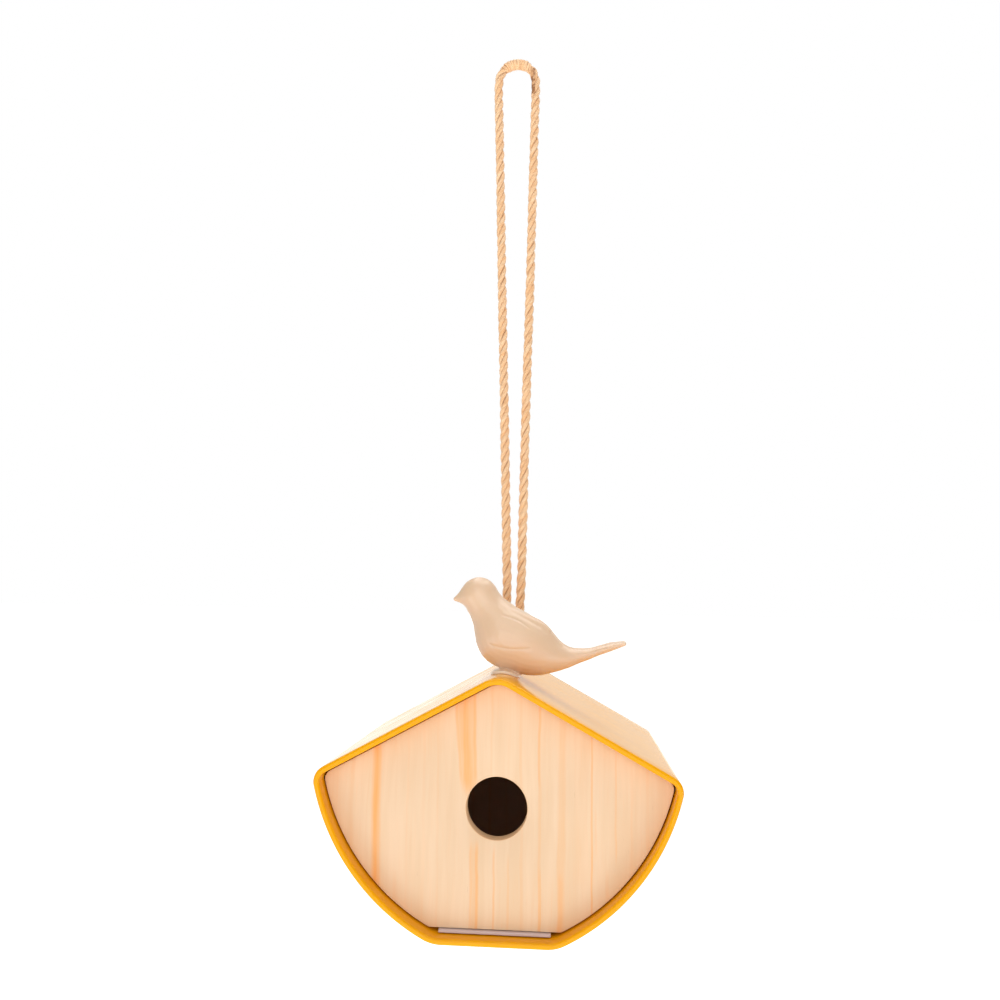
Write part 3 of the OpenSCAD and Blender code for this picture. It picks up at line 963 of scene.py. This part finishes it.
screws = {
    "pivotShank": 1.5,
    "pivotHead": 3.0,
    "pivotLength": 18.0,
    "pivotGap": 0.06,
    "boardShank": 1.75,
    "boardHead": 3.4,
    "boardLength": 20.0,
    "boardGap": 0.1,
    "lowAngle": -45.0,
    "hingeDepth": 12.0,
    "boardDepth": 154.0,
    "rim": 0.18,
    "pitch": 1.3,
    "thread": 0.3,
    "tip": 3.0,
    "slotReach": 0.62,
    "slotDepth": 0.42,
    "slotHalf": 0.12,
    "slotFloor": 0.45,
}


def sunk(head, radius):
    return radius - math.sqrt(radius * radius - head * head)


def pivotPlaces():
    reach = eaveCentre.x + house["eaveRadius"] - sunk(screws["pivotHead"], house["eaveRadius"])
    return [(inHouse(s * reach, screws["hingeDepth"], eaveCentre.y), Vector((s, 0, 0))) for s in (1, -1)]


def boardScrewPlaces():
    reach = eaveCentre.x + house["eaveRadius"] - sunk(screws["boardHead"], house["eaveRadius"])
    a = math.radians(screws["lowAngle"])
    out = Vector((math.cos(a), math.sin(a)))
    low = sideCentre + sideRadius * out
    places = []
    for s in (1, -1):
        places.append((inHouse(s * reach, screws["boardDepth"], eaveCentre.y), Vector((s, 0, 0))))
        places.append((inHouse(s * low.x, screws["boardDepth"], low.y), Vector((s * out.x, 0, out.y))))
    return places


def screwHoleShape(head, shank, gap):
    # the countersink and the bore below it, opened past both faces; Z is the way out
    wall = 3 * house["wall"]
    profile = [(shank + gap, -wall), (shank + gap, -(head - shank)), (head + gap, 0), (head + gap, 3.0)]
    return lathe([(r * mm, h * mm) for r, h in profile], 40)


bandCuts = {
    "ropeHole": 6.6,
    "ropeDepth": 84.0,
    "birdHole": 2.15,
    "birdDepth": 45.0,
    "drain": 3.0,
    "drainX": 16.0,
    "drainDepths": (48.0, 120.0),
    "overRidge": 4.0,
    "ridgeReach": 18.0,
    "overFloor": 6.0,
    "floorReach": 10.0,
    "along": 14,
}


def plunger(radius, reach, x, depth, top, steps):
    # a round cutter that goes straight down
    shape = lathe([(radius * mm, 0), (radius * mm, reach * mm)], steps)
    return turned(shape, (0, 0, -1), inHouse(x, depth, top))


def bandSection():
    # (inset, depth) round the wall's cut edge, with the rims rounded over
    r, wall, depth = house["rimRadius"], house["wall"], house["depth"]
    section = []
    corners = [(r, depth - r, -90, 0), (wall - r, depth - r, 0, 90), (wall - r, r, 90, 180), (r, r, 180, 270)]
    for number, (inset, back, start, end) in enumerate(corners):
        for k in range(7):
            a = math.radians(start + (end - start) * k / 6)
            # angle 0 faces the back, 90 the inside of the house
            section.append((inset + r * math.sin(a), back + r * math.cos(a)))
        if number in (1, 3):
            inset = wall if number == 1 else 0.0
            ends = (depth - r, r) if number == 1 else (r, depth - r)
            for k in range(1, bandCuts["along"]):
                section.append((inset, ends[0] + (ends[1] - ends[0]) * k / bandCuts["along"]))
    return section


def makeBand():
    section = bandSection()
    points, faces = [], []
    for point, out in outlinePoints:
        for inset, depth in section:
            moved = point - inset * out
            points.append(inHouse(moved.x, depth, moved.y))
    rows, columns = len(outlinePoints), len(section)
    for i in range(rows):
        for j in range(columns):
            nextRow, nextColumn = (i + 1) % rows, (j + 1) % columns
            faces.append((i * columns + j, i * columns + nextColumn,
                          nextRow * columns + nextColumn, nextRow * columns + j))
    band = addMesh("yellowBand", points, faces)
    faceOut(band)
    b = bandCuts
    shapes = []
    for radius, depth in ((b["ropeHole"], b["ropeDepth"]), (b["birdHole"], b["birdDepth"])):
        shapes.append(plunger(radius, b["ridgeReach"], 0, depth, b["overRidge"], 48))
    for x in (-b["drainX"], b["drainX"]):
        for depth in b["drainDepths"]:
            top = b["overFloor"] - house["height"]
            shapes.append(plunger(b["drain"], b["floorReach"], x, depth, top, 36))
    for kind, places in (("pivot", pivotPlaces()), ("board", boardScrewPlaces())):
        for place, out in places:
            hole = screwHoleShape(screws[kind + "Head"], screws[kind + "Shank"], screws[kind + "Gap"])
            shapes.append(turned(hole, out, place))
    cut(band, joined("bandCutter", shapes))
    smoothBy(band, 28)
    return band


finishPiece(makeBand(), glossYellow, "house", ("shell",))


def slabMesh(name, outer, holes, place):
    # outer: rings (list of flat points, level) from the first face to the last; holes: the same for each hole
    shape = bmesh.new()
    ends = [[], []]
    for rings in [outer] + holes:
        rows = [[shape.verts.new(place(u, v, level)) for u, v in points] for points, level in rings]
        for low, high in zip(rows, rows[1:]):
            for k in range(len(low)):
                after = (k + 1) % len(low)
                shape.faces.new((low[k], low[after], high[after], high[k]))
        ends[0].append(rows[0])
        ends[1].append(rows[-1])
    for loops in ends:
        edges = []
        for row in loops:
            for k in range(len(row)):
                pair = (row[k], row[(k + 1) % len(row)])
                edges.append(shape.edges.get(pair) or shape.edges.new(pair))
        bmesh.ops.triangle_fill(shape, edges=edges, use_beauty=True)
    bmesh.ops.recalc_face_normals(shape, faces=shape.faces)
    mesh = bpy.data.meshes.new(name)
    shape.to_mesh(mesh)
    shape.free()
    piece = bpy.data.objects.new(name, mesh)
    bpy.context.scene.collection.objects.link(piece)
    return piece


def circleAt(x, y, radius, steps):
    return [(x + radius * cosine, y + radius * sine) for cosine, sine in circle(steps)]


door = {
    "front": 9.5,
    "lip": 5.0,
    "thickness": 9.0,
    "gap": 0.8,
    "rebate": 3.0,
    "bottom": -130.15,
    "easing": 0.35,
    "holeZ": -69.5,
    "holeRadius": 16.0,
    "holeEasing": 0.9,
}


def clippedRing(inset, lowest):
    # keeps every point, so that all rings match
    ring = []
    for point, out in outlinePoints:
        moved = point - inset * out
        ring.append((moved.x, max(moved.y, lowest)))
    return ring


def makeDoor():
    d = door
    edge = house["wall"] + d["gap"]
    inner = edge + d["rebate"]
    e = d["easing"]
    back = d["front"] + d["thickness"]
    shoulder = d["front"] + d["lip"]
    outer = [
        (clippedRing(edge + e, d["bottom"] + e), d["front"]),
        (clippedRing(edge + 0.3 * e, d["bottom"] + 0.3 * e), d["front"] + 0.3 * e),
        (clippedRing(edge, d["bottom"]), d["front"] + e),
        (clippedRing(edge, d["bottom"]), shoulder),
        (clippedRing(inner, d["bottom"] + d["rebate"]), shoulder),
        (clippedRing(inner, d["bottom"] + d["rebate"]), back - e),
        (clippedRing(inner + e, d["bottom"] + d["rebate"] + e), back),
    ]
    h, r = d["holeEasing"], d["holeRadius"]
    hole = [(circleAt(0, d["holeZ"], radius, 96), level) for radius, level in (
        (r + h, d["front"]), (r + 0.3 * h, d["front"] + 0.3 * h), (r, d["front"] + h),
        (r, back - h), (r + h, back))]
    piece = slabMesh("pineDoor", outer, [hole], inHouseFlat)
    smoothBy(piece, 30)
    return piece


def inHouseFlat(u, v, level):
    return inHouse(u, level, v)


frontPine = makePine("frontPine", pine["frontLines"], 0.0, hole=(door["holeZ"], door["holeRadius"]))
finishPiece(makeDoor(), frontPine, "door", ("front_door",))

backBoard = {"front": 149.5, "back": 158.5, "gap": 0.2, "easing": 0.35, "lowest": -200.0, "seed": 340.0}


def makeBackBoard():
    b = backBoard
    edge = house["wall"] + b["gap"]
    low = b["lowest"]
    rings = [
        (clippedRing(edge + b["easing"], low), b["front"]),
        (clippedRing(edge, low), b["front"] + b["easing"]),
        (clippedRing(edge, low), b["back"] - b["easing"]),
        (clippedRing(edge + b["easing"], low), b["back"]),
    ]
    piece = slabMesh("pineBack", rings, [], inHouseFlat)
    smoothBy(piece, 30)
    return piece


nestSide = backBoard["front"] + house["front"] + 0.2
backPine = makePine("backPine", pine["backLines"], backBoard["seed"], nestSide)
finishPiece(makeBackBoard(), backPine, "house", ("back_panel",))

tray = {"corner": 0.6, "easing": 0.3, "drain": 3.0}


def squarePlate(low, high, corner, inset):
    # a rectangle with eased corners
    points = []
    for sx, sy, start in ((1, 1, 0), (-1, 1, 90), (-1, -1, 180), (1, -1, 270)):
        cx = (high.x if sx > 0 else low.x) - sx * corner
        cy = (high.y if sy > 0 else low.y) - sy * corner
        for k in range(7):
            a = math.radians(start + 90 * k / 6)
            points.append((cx + (corner - inset) * math.cos(a), cy + (corner - inset) * math.sin(a)))
    return points


def makeTray():
    low, high = (Vector(c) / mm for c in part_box("floor_tray"))
    e = tray["easing"]

    def plate(inset):
        return squarePlate(low, high, tray["corner"], inset)

    rings = [(plate(e), low.z), (plate(0), low.z + e), (plate(0), high.z - e), (plate(e), high.z)]
    holes = []
    for x in (-bandCuts["drainX"], bandCuts["drainX"]):
        for depth in bandCuts["drainDepths"]:
            y = depth + house["front"]
            holes.append([(circleAt(x, y, r, 32), level) for r, level in (
                (tray["drain"] + e, low.z), (tray["drain"], low.z + e),
                (tray["drain"], high.z - e), (tray["drain"] + e, high.z))])

    def place(u, v, level):
        return Vector((u, v, level)) * mm

    piece = slabMesh("floorTray", rings, holes, place)
    smoothBy(piece, 30)
    return piece


finishPiece(makeTray(), mattGrey, "tray", ("floor_tray",))


def screwTemplate(name, head, shank, length):
    # a countersunk cross-head screw; its face is at the origin and it points down Z
    rim, pitch, depth, tip = (screws[k] for k in ("rim", "pitch", "thread", "tip"))
    profile = [(0.02, -length), (shank * 0.5, -length + 0.5 * tip), (shank - depth, -length + tip)]
    z = -length + tip
    while z < -(head - shank) - 3.0:
        profile += [(shank - depth, z), (shank - depth, z + 0.45 * pitch), (shank, z + 0.65 * pitch),
                    (shank - depth, z + 0.85 * pitch)]
        z += pitch
    profile += [(shank - 0.05, z), (shank - 0.05, -(head - shank)), (head, -rim), (head - rim, 0.0),
                (0.02, 0.0)]
    screw = joined(name, [lathe([(r * mm, h * mm) for r, h in profile], 32)])
    long, half = head * screws["slotReach"], head * screws["slotHalf"]
    levels = ((-head * screws["slotDepth"], screws["slotFloor"]), (0.6, 1.15))
    corners = ((-1, -1), (1, -1), (1, 1), (-1, 1))
    for wide, high in ((long, half), (half, long)):
        box = [Vector((sx * wide * k, sy * high * k, z)) * mm for z, k in levels for sx, sy in corners]
        cut(screw, joined("slotCutter", [(box, tubeFaces(0, 2, 4))]))
    # painted shade: the shank below the head is marked to be painted near black
    dull = screw.data.attributes.new("dull", "FLOAT", "POINT")
    for item, vertex in zip(dull.data, screw.data.vertices):
        item.value = float(vertex.co.z < -0.5 * (head - shank) * mm)
    return screw


def screwTree(template, material):
    # puts one screw at each point, its Z axis along the point's "facing"
    tree, given, result = newTree("screwRow", [("Scale", "NodeSocketFloat")])
    source = addNode(tree, "GeometryNodeObjectInfo", Object=template, As_Instance=True)
    facing = addNode(tree, "GeometryNodeInputNamedAttribute", {"data_type": "FLOAT_VECTOR"}, Name="facing")
    align = tree.nodes.new("FunctionNodeAlignRotationToVector")
    align.axis = "Z"
    link(tree, facing.outputs["Attribute"], align.inputs["Vector"])
    place = addNode(tree, "GeometryNodeInstanceOnPoints", Points=given.outputs["Geometry"],
                    Instance=source.outputs["Geometry"], Rotation=align.outputs[0],
                    Scale=given.outputs["Scale"])
    real = tree.nodes.new("GeometryNodeRealizeInstances")
    link(tree, place.outputs[0], real.inputs[0])
    coat = addNode(tree, "GeometryNodeSetMaterial", Geometry=real.outputs[0], Material=material)
    link(tree, coat.outputs[0], result.inputs[0])
    return tree


def makeScrews(name, places, template):
    row = addMesh(name, [place for place, out in places], [])
    facing = row.data.attributes.new("facing", "FLOAT_VECTOR", "POINT")
    for item, (place, out) in zip(facing.data, places):
        item.vector = out
    tree = screwTree(template, zincSteel)
    modifier = row.modifiers.new("screws", "NODES")
    modifier.node_group = tree
    setInput(modifier, tree, "Scale", 1.0)
    bake(row)
    bpy.data.node_groups.remove(tree)
    discard(template)
    smoothBy(row, 35)
    return row


for kind, places, body, node in (("pivot", pivotPlaces(), "door", "pivot_screws"),
                                 ("board", boardScrewPlaces(), "house", "back_panel_screws")):
    template = screwTemplate(kind + "Template", *(screws[kind + k] for k in ("Head", "Shank", "Length")))
    finishPiece(makeScrews(kind + "Screws", places, template), None, body, (node,))


# stations along the bird, in mm from the ridge: place x, z, half height, half width
bird = {
    "depth": 45.0,
    "grow": 0.15,
    "body": [
        (-28.6, 38.5, 1.0, 0.9), (-27.2, 38.8, 1.7, 1.5), (-25.6, 39.2, 2.6, 2.3), (-22.9, 39.8, 4.3, 4.1),
        (-20.6, 40.4, 5.9, 5.9), (-18.4, 40.7, 7.6, 7.6), (-16.4, 40.9, 9.1, 9.0), (-14.7, 40.9, 10.3, 9.9),
        (-13.4, 39.0, 10.3, 10.1), (-11.9, 36.6, 10.4, 10.4), (-9.7, 33.4, 10.8, 10.9), (-7.7, 30.4, 11.6, 11.7),
        (-5.7, 27.8, 12.5, 12.6), (-3.9, 25.1, 13.8, 13.7), (-2.2, 22.4, 15.0, 14.7), (-0.4, 19.9, 16.3, 15.5),
        (1.5, 17.6, 17.5, 16.2), (4.6, 16.3, 17.2, 16.3), (7.7, 15.3, 16.6, 16.1), (10.6, 14.1, 16.2, 15.7),
        (13.5, 12.7, 16.2, 15.2), (16.5, 11.2, 14.9, 14.4), (19.4, 9.9, 13.5, 13.4), (22.5, 8.9, 11.8, 12.2),
        (25.7, 8.1, 10.2, 11.0), (28.9, 7.4, 8.7, 9.9), (32.2, 7.1, 7.3, 9.0), (35.4, 7.0, 6.1, 8.2),
        (38.7, 7.3, 5.0, 7.6), (42.0, 7.9, 4.2, 7.2), (45.3, 8.5, 3.6, 7.0), (48.4, 9.2, 3.1, 6.9),
        (51.5, 10.2, 2.7, 7.0), (54.5, 11.3, 2.6, 7.2), (57.5, 12.2, 2.5, 7.5), (60.6, 13.3, 2.4, 7.8),
        (63.7, 14.1, 2.0, 8.0), (66.8, 14.9, 1.5, 8.0), (68.0, 15.2, 1.3, 7.8),
    ],
    "wingTips": [
        (4.0, 31.5, 3.0, 4.6), (8.0, 29.8, 3.1, 4.6), (12.0, 28.0, 3.0, 4.5), (16.0, 26.3, 2.8, 4.3),
        (19.5, 24.9, 2.6, 4.0), (22.6, 23.2, 2.1, 3.6), (25.2, 21.4, 1.6, 3.0),
    ],
    "wingTipApart": 4.6,
    "voxel": 0.5,
    "smoothing": 5,
    "wing": [(-5.5, 30.5), (-8.6, 26.0), (-9.2, 20.5), (-7.4, 15.4), (-2.0, 12.7), (5.5, 11.2), (13.0, 11.2),
             (20.5, 12.8), (27.0, 15.8), (31.0, 19.0), (26.0, 23.5), (18.0, 27.5), (6.0, 34.0)],
    "wingLift": 0.34,
    "featherLines": [
        [(-2.0, 30.3), (4.5, 28.7), (9.0, 26.9), (13.0, 24.3), (16.0, 21.6)],
        [(-8.5, 15.0), (-5.0, 13.2), (0.0, 12.2), (6.0, 11.6), (12.0, 11.8), (17.0, 12.6)],
    ],
    "grooveWidth": 0.5,
    "grooveDepth": 0.42,
    "grooveFade": 4.0,
    "carveFrom": -16.0,
    "carveTo": 38.0,
    "carveAbove": 4.0,
    "flankFrom": 2.0,
    "flankFade": 4.0,
    "wingFade": 5.0,
    "bed": 0.02,
    "padX": 1.2,
    "padHalfWidth": 8.5,
    "padHalfDepth": 15.0,
    "padThickness": 1.8,
}


def curveThrough(rows, cuts):
    # the same smooth curve as the rope's, for rows of any length
    result = []
    for i in range(len(rows) - 1):
        near = [rows[max(0, min(len(rows) - 1, i + k))] for k in (-1, 0, 1, 2)]
        for k in range(cuts):
            result.append(tuple(onCurve(*values, k / cuts) for values in zip(*near)))
    result.append(tuple(rows[-1]))
    return result


def eggs(stations, cuts, aside=0.0):
    shapes = []
    for x, z, high, wide in curveThrough(stations, cuts):
        high += bird["grow"]
        wide += bird["grow"]
        points = []
        rings, steps = 15, 28
        for i in range(1, rings):
            a = math.pi * i / rings
            depth = bird["depth"] + aside + wide * math.cos(a)
            for cosine, sine in circle(steps):
                points.append(inHouse(x + high * cosine * math.sin(a), depth, z + high * sine * math.sin(a)))
        shapes.append((points, tubeFaces(0, rings - 1, steps)))
    return shapes


def toSegment(p, a, b):
    along = b - a
    share = max(0.0, min(1.0, (p - a).dot(along) / along.dot(along)))
    return (p - (a + along * share)).length


def toLine(p, line, closed=False):
    pairs = list(zip(line, line[1:] + line[:1])) if closed else list(zip(line, line[1:]))
    return min(toSegment(p, a, b) for a, b in pairs)


def inside(p, line):
    odd = False
    for a, b in zip(line, line[1:] + line[:1]):
        if (a.y > p.y) != (b.y > p.y) and p.x < a.x + (p.y - a.y) * (b.x - a.x) / (b.y - a.y):
            odd = not odd
    return odd


def eased(value):
    value = max(0.0, min(1.0, value))
    return value * value * (3 - 2 * value)


def roofTop(x):
    # height of the roof's outside at a distance from the ridge
    slope = math.radians(house["slope"])
    r = house["ridgeRadius"]
    bend = r * math.sin(slope)
    centre = -r / math.cos(slope)
    if abs(x) < bend:
        return centre + math.sqrt(r * r - x * x)
    return -abs(x) * math.tan(slope)


def carveBird(piece):
    # raises the folded wings, presses the feather lines in, and beds the bird on the ridge
    wing = [Vector(p) for p in curveThrough(bird["wing"] + bird["wing"][:1], 4)[:-1]]
    lines = [[Vector(p) for p in curveThrough(line, 4)] for line in bird["featherLines"]]
    normals = [Vector(item.vector) for item in piece.data.vertex_normals]
    padLightMask = []
    for vertex, normal in zip(piece.data.vertices, normals):
        place = vertex.co / mm
        x, depth, z = place.x, place.y - house["front"], place.z - house["ridge"]
        flat = Vector((x, z))
        side = eased((abs(depth - bird["depth"]) - bird["flankFrom"]) / bird["flankFade"])
        move = 0.0
        if bird["carveFrom"] < x < bird["carveTo"] and z > bird["carveAbove"] and side > 0:
            if inside(flat, wing):
                move += bird["wingLift"] * eased(toLine(flat, wing, True) / bird["wingFade"]) * side
            for line in lines:
                gap = toLine(flat, line)
                if gap < 4 * bird["grooveWidth"]:
                    ends = min((flat - line[0]).length, (flat - line[-1]).length)
                    depthHere = bird["grooveDepth"] * eased(ends / bird["grooveFade"]) * side
                    move -= depthHere * math.exp(-(gap / bird["grooveWidth"]) ** 2)
        overRoof = z - roofTop(x)
        aside = (x - bird["padX"]) / bird["padHalfWidth"]
        back = (depth - bird["depth"]) / bird["padHalfDepth"]
        spread = aside ** 2 + back ** 2
        # painted light: marks the pad's points, where the beige is painted paler
        padLightMask.append(float(overRoof < bird["padThickness"] + 0.3 and spread < 1.1))
        vertex.co += normal * move * mm
        vertex.co.z = max(vertex.co.z, (roofTop(x) + house["ridge"] + bird["bed"]) * mm)
    piece.data.attributes.new("pad", "FLOAT", "POINT").data.foreach_set("value", padLightMask)


def padShape():
    # the oval pad under the breast, bent over the ridge; each ring is (inset, height over the roof)
    thick = bird["padThickness"]
    edge = [(0.0, -0.6), (0.0, thick - 0.7), (0.2, thick - 0.2), (0.7, thick)]
    rings = [(7.5, -0.6), (4.0, -0.6)] + edge + [(2.5, thick), (5.0, thick), (7.5, thick)]
    points = []
    for inset, height in rings:
        for cosine, sine in circle(56):
            x = bird["padX"] + (bird["padHalfWidth"] - inset) * cosine
            depth = bird["depth"] + (bird["padHalfDepth"] - inset) * sine
            points.append(inHouse(x, depth, roofTop(x) + height))
    return points, tubeFaces(0, len(rings), 56)


def makeBird():
    shapes = eggs(bird["body"], 2)
    for side in (-1, 1):
        shapes += eggs(bird["wingTips"], 3, side * bird["wingTipApart"])
    shapes.append(padShape())
    piece = joined("ridgeBird", shapes)
    remesh = piece.modifiers.new("skin", "REMESH")
    remesh.mode = "VOXEL"
    remesh.voxel_size = bird["voxel"] * mm
    soften = piece.modifiers.new("soften", "SMOOTH")
    soften.factor = 0.5
    soften.iterations = bird["smoothing"]
    bake(piece)
    carveBird(piece)
    ease = piece.modifiers.new("ease", "SMOOTH")
    ease.factor = 0.3
    ease.iterations = 1
    bake(piece)
    piece.data.shade_smooth()
    return piece


finishPiece(makeBird(), satinBeige, "house", ("bird",))


# these keep their own shape
for name, material in (("door_stops", frontPine), ("bird_washer", zincSteel), ("bird_screw", zincSteel),
                       ("rope_washer", zincSteel)):
    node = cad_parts[name]
    node.data.materials.clear()
    node.data.materials.append(material)
print("inner pieces finished")


studio = {
    "floorDrop": 0.75,
    "floorHalf": 40.0,
    "floorColour": (0.9, 0.9, 0.9),
    "floorGlow": 0.58,
    "fill": 0.26,
    "front": 0.2,
    "behind": 0.46,
    "mirrored": (1, 0.95, 0.87),
}


def makeFloor():
    z = cadLow[2] - studio["floorDrop"]
    half = studio["floorHalf"]
    floor = addMesh("studioFloor", [(-half, -half, z), (half, -half, z), (half, half, z), (-half, half, z)],
                    [(0, 1, 2, 3)])
    material, tree, shader = newMaterial("paleFloor", studio["floorColour"], 0.9)
    shader.inputs["Emission Color"].default_value = (1, 1, 1, 1)
    path = tree.nodes.new("ShaderNodeLightPath")
    glow = maths(tree, "MAXIMUM", path.outputs["Is Camera Ray"], studio["floorGlow"])
    tree.links.new(glow, shader.inputs["Emission Strength"])
    floor.data.materials.append(material)


def makeSky():
    # white where it is seen, dim before and bright behind where it is mirrored, and gentle for the rest
    world = bpy.data.worlds.new("studioSky")
    world.use_nodes = True
    tree = world.node_tree
    path = tree.nodes.new("ShaderNodeLightPath")
    toward = addNode(tree, "ShaderNodeSeparateXYZ", Vector=objectPlace(tree)).outputs[1]
    mirrored = mapped(tree, toward, -0.4, 0.7, studio["front"], studio["behind"], "SMOOTHSTEP")
    glossy = times(tree, path.outputs["Is Glossy Ray"], maths(tree, "SUBTRACT", mirrored, studio["fill"]))
    unseen = maths(tree, "ADD", glossy, studio["fill"])
    strength = maths(tree, "MAXIMUM", path.outputs["Is Camera Ray"], unseen)
    sky = tree.nodes["Background"]
    tint = mixColour(tree, path.outputs["Is Glossy Ray"], (1, 1, 1), studio["mirrored"])
    tree.links.new(tint, sky.inputs[0])
    tree.links.new(strength, sky.inputs[1])
    bpy.context.scene.world = world


lamps = [
    {"name": "keyBox", "place": (-0.1, -1.6, -0.42), "size": 1.3, "power": 6.9, "colour": (1, 1, 1)},
    {"name": "highBox", "place": (0.05, -1.25, 0.42), "size": 1.3, "power": 5.2, "colour": (1, 1, 1)},
    {"name": "topBox", "place": (0.1, 0.3, 0.9), "size": 1.4, "power": 16.0, "colour": (1, 1, 1)},
    {"name": "backBox", "place": (0.0, 2.0, -0.15), "size": 3.0, "power": 13.5, "colour": (1, 0.95, 0.87)},
    {"name": "leftStrip", "place": (-1.3, -1.0, -0.9), "size": 0.5, "power": 2.5, "colour": (1, 1, 1)},
    {"name": "rightStrip", "place": (1.3, -1.0, -0.9), "size": 0.5, "power": 2.5, "colour": (1, 1, 1)},
]


def makeLamps():
    aim = Vector([(cadLow[k] + cadHigh[k]) / 2 for k in range(2)] + [house["ridge"] * mm])
    for lamp in lamps:
        data = bpy.data.lights.new(lamp["name"], "AREA")
        data.shape = "SQUARE"
        data.size = lamp["size"]
        data.energy = lamp["power"]
        data.color = lamp["colour"]
        holder = bpy.data.objects.new(lamp["name"], data)
        bpy.context.scene.collection.objects.link(holder)
        holder.visible_camera = False
        place = Vector(lamp["place"])
        turn = (place - aim).to_track_quat("Z", "Y").to_matrix().to_4x4()
        holder.matrix_world = Matrix.Translation(place) @ turn


makeFloor()
makeSky()
makeLamps()
bpy.context.scene.view_settings.view_transform = "Standard"
print("studio lit")
